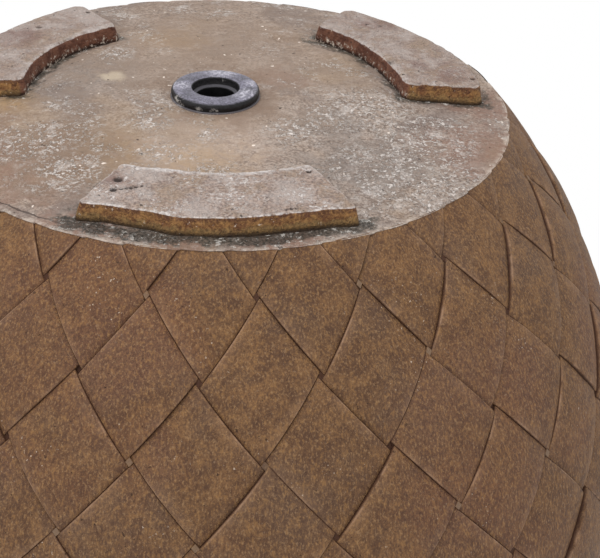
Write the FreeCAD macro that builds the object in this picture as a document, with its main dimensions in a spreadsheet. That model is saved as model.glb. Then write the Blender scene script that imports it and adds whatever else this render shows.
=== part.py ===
import FreeCAD, Part
import math
import os

import Sketcher

# A round cast garden pot with a bulging, basket-woven wall. The wall is one moulding. A trowelled,
# slightly domed slab closes its foot and covers the wall's lower edge, three arc-shaped pads are
# bonded under the slab, and a rubber grommet seals the pipe hole in its centre.
# Millimetres. +Z is up, the pads stand on z = 0, and the pot's axis is the Z axis.

DIMENSIONS = {
    # slab and pads
    "base_radius": 140.0,        # slab edge
    "foot_height": 11.6,         # ground to slab edge
    "dome_rise": 7.3,            # how far the slab's centre stands below its edge
    "edge_round": 1.2,
    "lap_thickness": 2.0,        # slab edge that covers the wall's lower edge
    "slab_thickness": 14.0,      # at the edge
    "pad_inner": 88.7,           # radii of a pad at the slab
    "pad_outer": 129.0,
    "pad_draft": 1.7,            # each side leans in by this much
    "pad_span": 56.0,            # degrees round the axis
    "pad_land": 8.0,             # flat strip that stands on the ground
    "pad_fall": 185.0,           # radius of the curve from that strip to the outer side
    "pad_round": 1.2,
    # wall
    "belly_radius": 210.5,       # widest outer radius
    "belly_rise": 193.5,         # from the slab edge to the widest level
    "wall_thickness": 13.0,
    "mouth_rise": 175.0,         # from the widest level to the centre of the rolled lip
    "lip_round": 10.5,           # radius of the rolled lip's section
    # grommet
    "hole_radius": 14.0,         # hole in the slab, filled by the grommet's neck
    "flange_radius": 20.8,
    "flange_clearance": 0.3,     # ground to the outer flange
    "flange_round": 2.4,
    "undercut_height": 1.4,      # shallow step where the flange meets the slab
    "undercut_depth": 1.0,
    "mouth_bore": 11.0,          # wider mouth of the bore
    "mouth_bore_depth": 4.0,
    "pipe_bore": 9.0,            # sealing bore
    "inner_flange_radius": 19.0,
    "inner_flange_height": 4.0,
}

# Plan angles of the three pads' centres, in degrees from +X.
PADS = {
    "foot_pad_front": -90.0,
    "foot_pad_left": 150.0,
    "foot_pad_right": 30.0,
}

# Levels and radii that follow from the driving dimensions, as spreadsheet expressions.
SLAB_EDGE = "Sizes.foot_height"
SEAT = "(Sizes.foot_height + Sizes.lap_thickness)"
SLAB_TOP = "(Sizes.foot_height + Sizes.slab_thickness)"
BULGE = "(Sizes.belly_radius - Sizes.base_radius)"
WALL_ARC = f"(({BULGE} * {BULGE} + Sizes.belly_rise * Sizes.belly_rise) / (2 * {BULGE}))"
BELLY_LEVEL = f"({SLAB_EDGE} + Sizes.belly_rise)"
DOME_ARC = ("((Sizes.base_radius * Sizes.base_radius + Sizes.dome_rise * Sizes.dome_rise)"
            " / (2 * Sizes.dome_rise))")
DOME_LEVEL = f"({SLAB_EDGE} - Sizes.dome_rise + {DOME_ARC})"
HOLE_LEVEL = f"({DOME_LEVEL} - sqrt({DOME_ARC} * {DOME_ARC} - Sizes.hole_radius * Sizes.hole_radius))"

ORIGIN = (-1, 1)                 # the sketch's own origin, as (geometry, point)
GROUND, AXIS = -1, -2            # the sketch's own axes
START, END, CENTRE = 1, 2, 3     # point numbers in a sketch


def size(name):
    return DIMENSIONS[name]


def make_sheet(doc):
    sheet = doc.addObject("Spreadsheet::Sheet", "Sizes")
    for row, (name, value) in enumerate(DIMENSIONS.items(), start=1):
        sheet.set(f"A{row}", name)
        sheet.set(f"B{row}", str(value))
        sheet.setAlias(f"B{row}", name)
    doc.recompute()
    return sheet


def make_body(doc, label):
    body = doc.addObject("PartDesign::Body", label)
    body.Label = label
    return body


def plane(body, role):
    return next(item for item in body.Origin.OriginFeatures if item.Role == role)


def make_section(body, label):
    """An empty sketch on the body's XZ plane: x is the radius and y the height."""
    sketch = body.newObject("Sketcher::SketchObject", label)
    sketch.AttachmentSupport = [(plane(body, "XZ_Plane"), "")]
    sketch.MapMode = "FlatFace"
    return sketch


def vector(point):
    return FreeCAD.Vector(point[0], point[1], 0.0)


def add_line(sketch, start, end):
    return sketch.addGeometry(Part.LineSegment(vector(start), vector(end)), False)


def add_arc(sketch, centre, start, end):
    """A counter-clockwise arc from start to end round centre."""
    radius = math.dist(centre, start)
    circle = Part.Circle(vector(centre), FreeCAD.Vector(0, 0, 1), radius)
    first = math.atan2(start[1] - centre[1], start[0] - centre[0])
    last = math.atan2(end[1] - centre[1], end[0] - centre[0])
    if last < first:
        last += 2 * math.pi
    return sketch.addGeometry(Part.ArcOfCircle(circle, first, last), False)


def join(sketch, first, first_point, second, second_point):
    sketch.addConstraint(Sketcher.Constraint("Coincident", first, first_point, second, second_point))


def join_smooth(sketch, first, second):
    """Joins the end of first to the start of second, tangent to it."""
    sketch.addConstraint(Sketcher.Constraint("Tangent", first, END, second, START))


def bind(sketch, constraint, expression):
    """Adds a dimension and drives it from the sheet."""
    index = sketch.addConstraint(constraint)
    sketch.setExpression(f"Constraints[{index}]", expression)


def place(sketch, geometry, point, value, across=None, up=None):
    """Drives a point's radius and height from the sheet. value holds their present sizes."""
    for kind, expression, present in (("DistanceX", across, value[0]), ("DistanceY", up, value[1])):
        if expression:
            limit = Sketcher.Constraint(kind, *ORIGIN, geometry, point, present)
            bind(sketch, limit, expression)


def outline(sketch, corners):
    """A closed outline of straight lines, each corner a (radius, height) pair of expressions
    with the sizes that they have now."""
    points = [values for values, _, _ in corners]
    lines = [add_line(sketch, points[i], points[(i + 1) % len(points)]) for i in range(len(points))]
    for i, line in enumerate(lines):
        join(sketch, line, END, lines[(i + 1) % len(lines)], START)
    for line, (values, across, up) in zip(lines, corners):
        place(sketch, line, START, values, across, up)
    return lines


def revolve(body, sketch, label, angle=None):
    """Turns the section round the body's Z axis."""
    feature = body.newObject("PartDesign::Revolution", label)
    feature.Profile = sketch
    feature.ReferenceAxis = (plane(body, "Z_Axis"), [""])
    feature.Angle = 360.0
    if angle:
        feature.setExpression("Angle", angle)
        feature.Midplane = True
    return feature


def round_edges(body, base, label, radius, chosen):
    """Rounds the edges of base that chosen accepts."""
    names = [f"Edge{i}" for i, edge in enumerate(base.Shape.Edges, start=1) if chosen(edge)]
    feature = body.newObject("PartDesign::Fillet", label)
    feature.Base = (base, names)
    feature.setExpression("Radius", radius)
    return feature


def level(edge):
    """The height of a level edge, or None where the edge rises."""
    box = edge.BoundBox
    return box.ZMin if box.ZLength < 1e-6 else None


def near(value, target):
    return value is not None and abs(value - target) < 1e-3


def wall_arc_size():
    bulge = size("belly_radius") - size("base_radius")
    return (bulge ** 2 + size("belly_rise") ** 2) / (2 * bulge)


def wall_centre():
    """Centre of the wall's arc in the section: inside the axis, at the widest level."""
    across = size("belly_radius") - wall_arc_size()
    return across, size("foot_height") + size("belly_rise")


def on_wall(height, inset):
    """A point at this height on the wall's outer face, or inset from it."""
    across, up = wall_centre()
    radius = wall_arc_size() - inset
    return across + math.sqrt(radius ** 2 - (height - up) ** 2), height


def drive_wall_arc(sketch, arc, inset):
    """Holds an arc on the wall's centre, at the wall's outer radius less inset."""
    radius = wall_arc_size()
    centre = wall_centre()
    to_axis = Sketcher.Constraint("DistanceX", arc, CENTRE, *ORIGIN, -centre[0])
    bind(sketch, to_axis, f"{WALL_ARC} - Sizes.belly_radius")
    place(sketch, arc, CENTRE, centre, up=BELLY_LEVEL)
    reach = WALL_ARC if inset is None else f"{WALL_ARC} - Sizes.{inset}"
    present = radius if inset is None else radius - size(inset)
    bind(sketch, Sketcher.Constraint("Radius", arc, present), reach)


def dome_arc_size():
    return (size("base_radius") ** 2 + size("dome_rise") ** 2) / (2 * size("dome_rise"))


def dome_centre():
    """Centre of the slab's underside, on the axis above it."""
    return 0.0, size("foot_height") - size("dome_rise") + dome_arc_size()


def on_dome(radius):
    """The point of the slab's underside at this radius."""
    return radius, dome_centre()[1] - math.sqrt(dome_arc_size() ** 2 - radius ** 2)


def drive_dome_arc(sketch, arc):
    """Holds an arc on the slab's underside."""
    sketch.addConstraint(Sketcher.Constraint("PointOnObject", arc, CENTRE, AXIS))
    place(sketch, arc, CENTRE, dome_centre(), up=DOME_LEVEL)
    bind(sketch, Sketcher.Constraint("Radius", arc, dome_arc_size()), DOME_ARC)


def lip_centre():
    """The rolled lip is centred on the middle of the wall."""
    height = wall_centre()[1] + size("mouth_rise")
    return on_wall(height, size("wall_thickness") / 2)


def make_woven_shell(doc):
    """The moulded wall: an arc section, thickened inwards, with a rolled lip round its mouth."""
    body = make_body(doc, "woven_shell")
    sketch = make_section(body, "wall_section")
    seat = size("foot_height") + size("lap_thickness")
    thickness = size("wall_thickness")
    lip = lip_centre()
    lip_below = lip[1] - size("lip_round") * 0.7
    outer = add_arc(sketch, wall_centre(), on_wall(seat, 0), on_wall(lip_below, 0))
    roll = add_arc(sketch, lip, on_wall(lip_below, 0), on_wall(lip_below, thickness))
    inner = add_arc(sketch, wall_centre(), on_wall(seat, thickness), on_wall(lip_below, thickness))
    foot = add_line(sketch, on_wall(seat, thickness), on_wall(seat, 0))
    join(sketch, outer, END, roll, START)
    join(sketch, roll, END, inner, END)
    join(sketch, inner, START, foot, START)
    join(sketch, foot, END, outer, START)
    drive_wall_arc(sketch, outer, None)
    drive_wall_arc(sketch, inner, "wall_thickness")
    sketch.addConstraint(Sketcher.Constraint("Horizontal", foot))
    place(sketch, foot, START, on_wall(seat, thickness), up=SEAT)
    bind(sketch, Sketcher.Constraint("Radius", roll, size("lip_round")), "Sizes.lip_round")
    middle = f"({WALL_ARC} - Sizes.wall_thickness / 2)"
    rise = "Sizes.mouth_rise"
    lip_across = f"Sizes.belly_radius - {WALL_ARC} + sqrt({middle} * {middle} - {rise} * {rise})"
    place(sketch, roll, CENTRE, lip, lip_across, f"{BELLY_LEVEL} + {rise}")
    doc.recompute()
    revolve(body, sketch, "wall")
    return body


def make_base_slab(doc):
    """The trowelled slab: it fills the wall's foot, and its edge is flush with the wall's face."""
    body = make_body(doc, "base_slab")
    sketch = make_section(body, "slab_section")
    top = size("foot_height") + size("slab_thickness")
    seat = size("foot_height") + size("lap_thickness")
    inset = size("wall_thickness")
    hole, edge = on_dome(size("hole_radius")), on_dome(size("base_radius"))
    mouth = (size("hole_radius"), top)
    face = add_arc(sketch, dome_centre(), hole, edge)
    side = add_arc(sketch, wall_centre(), edge, on_wall(seat, 0))
    lap = add_line(sketch, on_wall(seat, 0), on_wall(seat, inset))
    fill = add_arc(sketch, wall_centre(), on_wall(seat, inset), on_wall(top, inset))
    inside = add_line(sketch, on_wall(top, inset), mouth)
    bore = add_line(sketch, mouth, hole)
    ring = [face, side, lap, fill, inside, bore]
    for here, following in zip(ring, ring[1:] + ring[:1]):
        join(sketch, here, END, following, START)
    for kind, line in (("Horizontal", lap), ("Horizontal", inside), ("Vertical", bore)):
        sketch.addConstraint(Sketcher.Constraint(kind, line))
    drive_dome_arc(sketch, face)
    drive_wall_arc(sketch, side, None)
    drive_wall_arc(sketch, fill, "wall_thickness")
    place(sketch, lap, START, on_wall(seat, 0), up=SEAT)
    place(sketch, bore, START, mouth, "Sizes.hole_radius", SLAB_TOP)
    doc.recompute()
    slab = revolve(body, sketch, "slab")
    doc.recompute()
    round_edges(body, slab, "slab_edge", "Sizes.edge_round",
                lambda rim: near(level(rim), size("foot_height")))
    return body


def make_foot_pad(doc, label, angle):
    """One arc-shaped pad under the slab. Its inner strip stands on the ground, and from there
    its face curves up to the outer side."""
    body = make_body(doc, label)
    sketch = make_section(body, f"{label}_section")
    draft, fall = size("pad_draft"), size("pad_fall")
    inner, outer = on_dome(size("pad_inner")), on_dome(size("pad_outer"))
    heel = (size("pad_inner") + draft, 0.0)
    land_end = (heel[0] + size("pad_land"), 0.0)
    reach = size("pad_outer") - draft
    toe = (reach, fall - math.sqrt(fall ** 2 - (reach - land_end[0]) ** 2))
    land = add_line(sketch, heel, land_end)
    face = add_arc(sketch, (land_end[0], fall), land_end, toe)
    outside = add_line(sketch, toe, outer)
    bond = add_arc(sketch, dome_centre(), inner, outer)
    inside = add_line(sketch, inner, heel)
    join_smooth(sketch, land, face)
    join(sketch, face, END, outside, START)
    join(sketch, outside, END, bond, END)
    join(sketch, bond, START, inside, START)
    join(sketch, inside, END, land, START)
    for point in (START, END):
        sketch.addConstraint(Sketcher.Constraint("PointOnObject", land, point, GROUND))
    heel_text = "Sizes.pad_inner + Sizes.pad_draft"
    place(sketch, land, START, heel, heel_text)
    place(sketch, land, END, land_end, f"{heel_text} + Sizes.pad_land")
    bind(sketch, Sketcher.Constraint("Radius", face, fall), "Sizes.pad_fall")
    place(sketch, outside, START, toe, "Sizes.pad_outer - Sizes.pad_draft")
    drive_dome_arc(sketch, bond)
    place(sketch, outside, END, outer, "Sizes.pad_outer")
    place(sketch, inside, START, inner, "Sizes.pad_inner")
    doc.recompute()
    pad = revolve(body, sketch, f"{label}_arc", "Sizes.pad_span")
    doc.recompute()

    def leaves_slab(edge):
        """True for the edges to round: not on the slab, and not between strip and curve."""
        on_slab = all(near(point.z, on_dome(math.hypot(point.x, point.y))[1])
                      for point in (vertex.Point for vertex in edge.Vertexes))
        strip_end = near(level(edge), 0.0) and near(math.hypot(*edge.Vertexes[0].Point[:2]), land_end[0])
        return not on_slab and not strip_end

    round_edges(body, pad, f"{label}_round", "Sizes.pad_round", leaves_slab)
    body.Placement = FreeCAD.Placement(FreeCAD.Vector(), FreeCAD.Rotation(FreeCAD.Vector(0, 0, 1), angle))
    return body


def make_pipe_grommet(doc):
    """The rubber seal: outer flange, neck through the slab, inner flange, and a stepped bore."""
    body = make_body(doc, "pipe_grommet")
    sketch = make_section(body, "grommet_section")
    low = size("flange_clearance")
    under, top = on_dome(size("hole_radius"))[1], size("foot_height") + size("slab_thickness")
    step = under - size("undercut_height")
    flange, neck = size("flange_radius"), size("hole_radius")
    waist = flange - size("undercut_depth")
    inner_flange, crest = size("inner_flange_radius"), top + size("inner_flange_height")
    wide, narrow = size("mouth_bore"), size("pipe_bore")
    ledge = low + size("mouth_bore_depth")
    low_text = "Sizes.flange_clearance"
    step_text = f"{HOLE_LEVEL} - Sizes.undercut_height"
    waist_text = "Sizes.flange_radius - Sizes.undercut_depth"
    crest_text = f"{SLAB_TOP} + Sizes.inner_flange_height"
    ledge_text = "Sizes.flange_clearance + Sizes.mouth_bore_depth"
    outline(sketch, [
        ((wide, low), "Sizes.mouth_bore", low_text),
        ((flange, low), "Sizes.flange_radius", low_text),
        ((flange, step), "Sizes.flange_radius", step_text),
        ((waist, step), waist_text, step_text),
        ((waist, under), waist_text, HOLE_LEVEL),
        ((neck, under), "Sizes.hole_radius", HOLE_LEVEL),
        ((neck, top), "Sizes.hole_radius", SLAB_TOP),
        ((inner_flange, top), "Sizes.inner_flange_radius", SLAB_TOP),
        ((inner_flange, crest), "Sizes.inner_flange_radius", crest_text),
        ((narrow, crest), "Sizes.pipe_bore", crest_text),
        ((narrow, ledge), "Sizes.pipe_bore", ledge_text),
        ((wide, ledge), "Sizes.mouth_bore", ledge_text),
    ])
    doc.recompute()
    ring = revolve(body, sketch, "ring")
    doc.recompute()

    def at(edge, height, radius):
        return near(level(edge), height) and near(edge.BoundBox.XMax, radius)

    outer = round_edges(body, ring, "flange_edge", "Sizes.flange_round",
                        lambda edge: at(edge, low, flange) or at(edge, crest, inner_flange))
    doc.recompute()
    round_edges(body, outer, "bore_edges", "Sizes.flange_round / 2",
                lambda edge: at(edge, low, wide) or at(edge, crest, narrow))
    return body


def check(doc, parts):
    """Stops where a feature failed or a part isn't one valid closed solid."""
    for item in doc.Objects:
        if {"Invalid", "Error"} & set(item.State):
            raise RuntimeError(f"{item.Name} failed: {item.State}")
    for part in parts:
        shape = part.Shape
        if shape.isNull() or not shape.isValid() or len(shape.Solids) != 1 or shape.Volume <= 0:
            raise RuntimeError(f"{part.Label} isn't one valid solid")


def main():
    doc = FreeCAD.newDocument("woven_pot")
    make_sheet(doc)
    parts = [make_woven_shell(doc), make_base_slab(doc), make_pipe_grommet(doc)]
    parts += [make_foot_pad(doc, label, angle) for label, angle in PADS.items()]
    doc.recompute()
    check(doc, parts)
    os.makedirs("parts", exist_ok=True)
    for part in parts:
        part.Shape.exportStep(f"parts/{part.Label}.step")
        box = part.Shape.BoundBox
        print(f"{part.Label}: {part.Shape.Volume / 1000:.1f} cm3, z {box.ZMin:.2f} to {box.ZMax:.2f}, "
              f"radius {box.XMax:.2f}")


main()
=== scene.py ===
"""A round cast garden pot with a basket-woven wall, seen from below its trowelled base.

Metres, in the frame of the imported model: +Z is up, the pads stand on z = 0, -Y is the front.
A turn is measured round the pot's axis from the front, clockwise as seen from above.
"""
import math

import bmesh
import bpy
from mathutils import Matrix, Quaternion, Vector, noise


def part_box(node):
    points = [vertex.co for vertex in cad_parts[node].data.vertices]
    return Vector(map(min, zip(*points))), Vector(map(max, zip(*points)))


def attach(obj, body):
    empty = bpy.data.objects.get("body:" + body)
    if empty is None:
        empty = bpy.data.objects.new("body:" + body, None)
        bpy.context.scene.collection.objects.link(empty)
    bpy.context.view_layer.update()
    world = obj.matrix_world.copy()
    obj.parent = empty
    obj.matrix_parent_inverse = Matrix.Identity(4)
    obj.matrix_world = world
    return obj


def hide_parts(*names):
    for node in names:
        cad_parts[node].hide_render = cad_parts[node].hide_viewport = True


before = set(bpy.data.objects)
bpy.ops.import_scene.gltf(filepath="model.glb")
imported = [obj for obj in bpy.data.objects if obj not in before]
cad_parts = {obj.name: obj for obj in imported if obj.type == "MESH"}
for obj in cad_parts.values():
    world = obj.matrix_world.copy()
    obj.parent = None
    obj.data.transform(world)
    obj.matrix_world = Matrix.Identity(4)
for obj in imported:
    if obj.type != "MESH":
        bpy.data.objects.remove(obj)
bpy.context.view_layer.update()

# Sizes read from the frame
SLAB_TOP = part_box("base_slab")[1][2]
SHELL_LOW, SHELL_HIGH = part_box("woven_shell")
GROMMET_LOW, GROMMET_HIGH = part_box("pipe_grommet")
SEAT = SHELL_LOW[2]
BELLY_RADIUS = SHELL_HIGH[0]

# The slab is domed downwards, and its edge is flush with the wall
SLAB_RADIUS = 0.1384
EDGE_LEVEL = SEAT - 0.002
DOME_RISE = 0.0073

# The wall's section is an arc from the slab's edge, thickened inwards, with a rolled lip
BELLY_RISE = 0.1935
WALL_THICKNESS = 0.013
LIP_ROUND = 0.0105
LIP_LEVEL = SHELL_HIGH[2] - LIP_ROUND
BULGE = BELLY_RADIUS - SLAB_RADIUS
WALL_ARC = (BULGE ** 2 + BELLY_RISE ** 2) / (2 * BULGE)
WALL_ACROSS = BELLY_RADIUS - WALL_ARC
WALL_LEVEL = EDGE_LEVEL + BELLY_RISE
WALL_START = -math.asin(BELLY_RISE / WALL_ARC)

# The weave: two families of strips, crossing at a diagonal lattice
STRIPS = 21                # of each family, round the pot
ROW_PITCH = 0.0347         # half a diamond, along the wall
FIRST_ROW = 0.0201         # first row of nodes, along the wall from the slab's edge
WEAVE_TURN = -0.191        # a node of that row
WALL_FOOT = 0.0001         # where the strips come out from the slab's edge, along the wall
GAP = 0.034                # half the space between two strips, in strip pitches
STEP = 0.006               # width of the drop at a strip's side
STRIP_RISE = 0.0009        # a strip's crown above the wall's plain arc
STRIP_DIVE = 0.0018        # how far a strip's end goes down under its neighbour
GROOVE = 0.0003            # extra depth where a strip meets the one over it
FOOT_RELIEF = 0.45         # share of the weave's relief left where it meets the slab
HOLE_DEPTH = 0.0010        # the small square between four strips
EDGE_STEPS = ((0.0, 0.0004), (0.006, 0.00012), (0.018, 0.00002))   # (inset, drop) down a side

# The camera, below the base as the pot stands upside down in the studio
CAMERA_PLACE = Vector((0.00629, -0.80107, -0.35618))
CAMERA_AIM = Vector((-0.03369, -0.15194, 0.01740))
CAMERA_ROLL = math.radians(182.08)
CAMERA_LENS = 111.1


# ---------------------------------------------------------------- helpers

def new_piece(name, mesh, material, node):
    piece = bpy.data.objects.new(name, mesh)
    bpy.context.scene.collection.objects.link(piece)
    mesh.materials.clear()
    mesh.materials.append(material)
    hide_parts(node)
    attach(piece, "root")
    return piece


def to_mesh(build, name, sharp=40.0):
    """Turns a bmesh into a smooth-shaded mesh with sharp edges above an angle in degrees."""
    bmesh.ops.recalc_face_normals(build, faces=build.faces)
    mesh = bpy.data.meshes.new(name)
    build.to_mesh(mesh)
    build.free()
    mesh.shade_smooth()
    mesh.set_sharp_from_angle(angle=math.radians(sharp))
    return mesh


def round_axis(turn, radius, level):
    return Vector((-radius * math.sin(turn), -radius * math.cos(turn), level))


def wall_point(turn, along, height):
    """The point this far along the wall's arc from its lower edge, and this far out of it."""
    angle = WALL_START + along / WALL_ARC
    reach = WALL_ARC + height
    return round_axis(turn, WALL_ACROSS + reach * math.cos(angle), WALL_LEVEL + reach * math.sin(angle))


def under_level(radius):
    """The level of the slab's plain underside."""
    return EDGE_LEVEL - DOME_RISE * (1 - (radius / SLAB_RADIUS) ** 2)


def fade(value, start, end):
    """A smooth step from 0 at start to 1 at end."""
    share = min(1.0, max(0.0, (value - start) / (end - start)))
    return share * share * (3 - 2 * share)


def rough(place, scale, seed=0.0):
    """Smooth noise from -1 to 1, with features of about 1 / scale metres."""
    return noise.noise(place * scale + Vector((seed, 2.3 * seed, 5.1 * seed)))


def lathe(build, section, segments):
    """Turns a list of (radius, level) points round the axis. Returns the rings of vertices."""
    rings = []
    for radius, level in section:
        rings.append([build.verts.new(round_axis(2 * math.pi * k / segments, radius, level))
                      for k in range(segments)])
    for low, high in zip(rings, rings[1:]):
        for k in range(segments):
            following = (k + 1) % segments
            build.faces.new((low[k], low[following], high[following], high[k]))
    return rings


def arc_points(centre, radius, start, end, count):
    """Points on an arc in the section, angles in degrees."""
    angles = [math.radians(start + (end - start) * k / count) for k in range(count + 1)]
    return [(centre[0] + radius * math.cos(t), centre[1] + radius * math.sin(t)) for t in angles]


def line_points(start, end, count):
    """Points from start towards end, without the end."""
    return [(start[0] + (end[0] - start[0]) * k / count, start[1] + (end[1] - start[1]) * k / count)
            for k in range(count)]


# ---------------------------------------------------------------- woven wall

def lattice_lines():
    """Where the mesh lines lie in one strip pitch, starting at the edge of the strip before.
    The first six span the gap, and the rest the strip's rounded sides and its face."""
    inside = EDGE_STEPS[-1][0] + GAP
    divisions = 8
    face = [inside + (1 - 2 * inside) * k / divisions for k in range(divisions + 1)]
    gap = [-GAP, -GAP + STEP, -GAP + 2.4 * STEP, GAP - 2.4 * STEP, GAP - STEP]
    rise = [GAP + inset for inset, _ in EDGE_STEPS[:-1]]
    fall = [1 - GAP - inset for inset, _ in EDGE_STEPS[-2:0:-1]]
    return gap + rise + face + fall


LINES = lattice_lines()
LINE_COUNT = len(LINES)
FIRST_ON_STRIP = 5         # the first line after the gap


def strip_at(cell, line):
    """The strip that a mesh line lies on, or None in the gap."""
    if line == 0:
        return cell - 1
    return cell if line >= FIRST_ON_STRIP else None


def chance(*key):
    """A repeatable number from 0 to 1 for a key of whole numbers."""
    place = Vector((key[0] * 12.9898, key[1] * 78.233, key[2] * 37.719 if len(key) > 2 else 0.5))
    return noise.cell(place * 1.37 + Vector((0.13, 0.57, 0.91)))


def side_drop(strip, position):
    """How far a strip's rounded side is below its face."""
    inset = 0.5 - GAP - abs(position - strip - 0.5)
    for (near, low), (far, high) in zip(EDGE_STEPS, EDGE_STEPS[1:]):
        if inset <= far + 1e-9:
            share = (inset - near) / (far - near)
            return low + (high - low) * max(share, 0.0)
    return 0.0


def strip_surface(family, strip, across, along, cell, line, other):
    """Height, dirt and painted shade on a strip, at a position across it and along it. cell and line
    give the mesh line along it, and other is the strip that it crosses there, or None in the gap."""
    if other is None:
        over = cell if (strip + cell) % 2 == family else cell - 1
    else:
        over = other
    reach = abs(along - over - 0.5) / (0.5 + GAP)
    width = abs(across - strip - 0.5) / (0.5 - GAP)
    row = strip + over + 1
    lift = (chance(family, strip % STRIPS if family == 0 else over % STRIPS, row) - 0.5) * 0.0006
    height = STRIP_RISE + lift - STRIP_DIVE * reach ** 3 - 0.0003 * width ** 4
    height -= side_drop(strip, across)
    # Darker at a strip's very edge and in the groove where it meets the strip over it: grime and
    # painted crevice shade.
    dirt_and_shade = 0.35 if width > 0.999 else 0.0
    if other is None:
        from_wall = line if over == cell else FIRST_ON_STRIP - line
        height -= {1: GROOVE, 2: 0.35 * GROOVE}.get(from_wall, 0.0)
        dirt_and_shade = {1: 1.0, 2: 0.32}.get(from_wall, dirt_and_shade)
    # Lighter along the strip's raised sides: wear and dust, with a painted highlight.
    wear_and_highlight = max(0.0, (width - 0.95) / 0.05) * (1 - reach ** 2)
    return height, dirt_and_shade, wear_and_highlight, (family, strip, over)


def weave_height(turn, along):
    """The height of whichever strip is on top at a place on the wall."""
    apart = (turn - WEAVE_TURN) * STRIPS / math.pi
    total = (along - FIRST_ROW) / ROW_PITCH
    cell_a, share_a = divmod((total + apart) / 2, 1)
    cell_b, share_b = divmod((total - apart) / 2, 1)
    share = share_b if (cell_a + cell_b) % 2 == 0 else share_a
    return STRIP_RISE - STRIP_DIVE * abs(2 * share - 1) ** 3


def weave_surface(cell_a, line_a, cell_b, line_b):
    """Height, dirt with painted shade, wear with a painted highlight, and tone of the weave where two
    mesh lines cross. The two families lie over each other in turn, so that the first is on top where
    its cell numbers add up to even."""
    a, b = cell_a + LINES[line_a], cell_b + LINES[line_b]
    strip_a, strip_b = strip_at(cell_a, line_a), strip_at(cell_b, line_b)
    if strip_a is None and strip_b is None:
        # An open hole is darkened with grime and painted shade, a filled one much less.
        fill = chance(cell_a % STRIPS, cell_a + cell_b, 7)
        depth = STRIP_DIVE + HOLE_DEPTH * (1.2 - 1.4 * fill)
        return STRIP_RISE - depth, 1.0 - 0.9 * fade(fill, 0.3, 0.7), 0.0, (2, 0, 0)
    if strip_b is None or (strip_a is not None and (strip_a + strip_b) % 2 == 0):
        return strip_surface(0, strip_a, a, b, cell_b, line_b, strip_b)
    return strip_surface(1, strip_b, b, a, cell_a, line_a, strip_a)


def make_weave(build, top):
    """The outer face: a diagonal lattice of mesh lines on the flattened wall, cut off at the
    wall's two ends and then rolled up."""
    dirt_and_shade = build.verts.layers.float.new("dirt_and_shade")
    wear_and_highlight = build.verts.layers.float.new("wear_and_highlight")
    tone = build.verts.layers.float.new("tone")
    mortar = build.verts.layers.float.new("mortar")
    corners = {}

    def corner(cell_a, line_a, cell_b, line_b):
        if line_a == LINE_COUNT:
            cell_a, line_a = cell_a + 1, 0
        if line_b == LINE_COUNT:
            cell_b, line_b = cell_b + 1, 0
        key = (cell_a, line_a, cell_b, line_b)
        if key not in corners:
            a, b = cell_a + LINES[line_a], cell_b + LINES[line_b]
            height, grime_and_shade, rub_and_highlight, patch = weave_surface(*key)
            vert = build.verts.new((WEAVE_TURN + math.pi * (a - b) / STRIPS,
                                    FIRST_ROW + ROW_PITCH * (a + b), height))
            vert[dirt_and_shade], vert[wear_and_highlight] = grime_and_shade, rub_and_highlight
            family, strip, over = patch
            vert[mortar] = 1.0 if family == 2 else 0.0
            vert[tone] = chance(family, (strip if family == 0 else over) % STRIPS, strip + over)
            corners[key] = vert
        return corners[key]

    first_row = math.floor(-FIRST_ROW / ROW_PITCH) - 1
    last_row = math.ceil((top - FIRST_ROW) / ROW_PITCH) + 1
    for row in range(first_row, last_row + 1):
        for k in range(STRIPS):
            apart = (row - 1) % 2 + 2 * k
            cell_a = (row - 1 + apart) // 2
            cell_b = row - 1 - cell_a
            for p in range(LINE_COUNT):
                for q in range(LINE_COUNT):
                    build.faces.new([corner(cell_a, i, cell_b, j)
                                     for i, j in ((p, q), (p + 1, q), (p + 1, q + 1), (p, q + 1))])
    for limit, side in ((WALL_FOOT, -1), (top, 1)):
        bmesh.ops.bisect_plane(build, geom=build.verts[:] + build.edges[:] + build.faces[:],
                               plane_co=(0, limit, 0), plane_no=(0, side, 0), clear_outer=True)
    for vert in build.verts:
        turn, along, height = vert.co
        plain = wall_point(turn, along, 0.0)
        height *= FOOT_RELIEF + (1 - FOOT_RELIEF) * fade(along, 0.0, 0.014)
        height += 0.0004 * rough(plain, 22, 1.0) + 0.00012 * rough(plain, 110, 2.0)
        turn += 0.0040 * rough(plain, 14, 3.0)
        along += 0.0008 * rough(plain, 14, 4.0) * fade(along, 0.002, 0.02)
        vert.co = wall_point(turn, along, height)
    bmesh.ops.remove_doubles(build, verts=build.verts, dist=0.00002)


def make_wall(material):
    """The moulded wall: woven outside, rolled lip, plain inside."""
    build = bmesh.new()
    middle = WALL_ARC - WALL_THICKNESS / 2
    lip_angle = math.asin((LIP_LEVEL - WALL_LEVEL) / middle)
    lip = (WALL_ACROSS + middle * math.cos(lip_angle), LIP_LEVEL)
    top = (lip_angle - WALL_START) * WALL_ARC - 0.002
    make_weave(build, top)
    inner = WALL_ARC - WALL_THICKNESS
    foot = math.degrees(math.asin((SEAT - 0.002 - WALL_LEVEL) / inner))
    inside = arc_points((WALL_ACROSS, WALL_LEVEL), inner, foot, math.degrees(lip_angle) - 1.6, 40)
    roll = arc_points(lip, LIP_ROUND, 215.0, -62.0, 28)
    for ring in lathe(build, inside + roll, 240):
        for vert in ring:
            place = vert.co.copy()
            outward = Vector((place.x, place.y, 0.0)).normalized()
            vert.co += outward * (0.0006 * rough(place, 18, 6.0) + 0.00025 * rough(place, 70, 7.0))
    return new_piece("woven_wall", to_mesh(build, "woven_wall"), material, "woven_shell")


# ---------------------------------------------------------------- base slab

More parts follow.
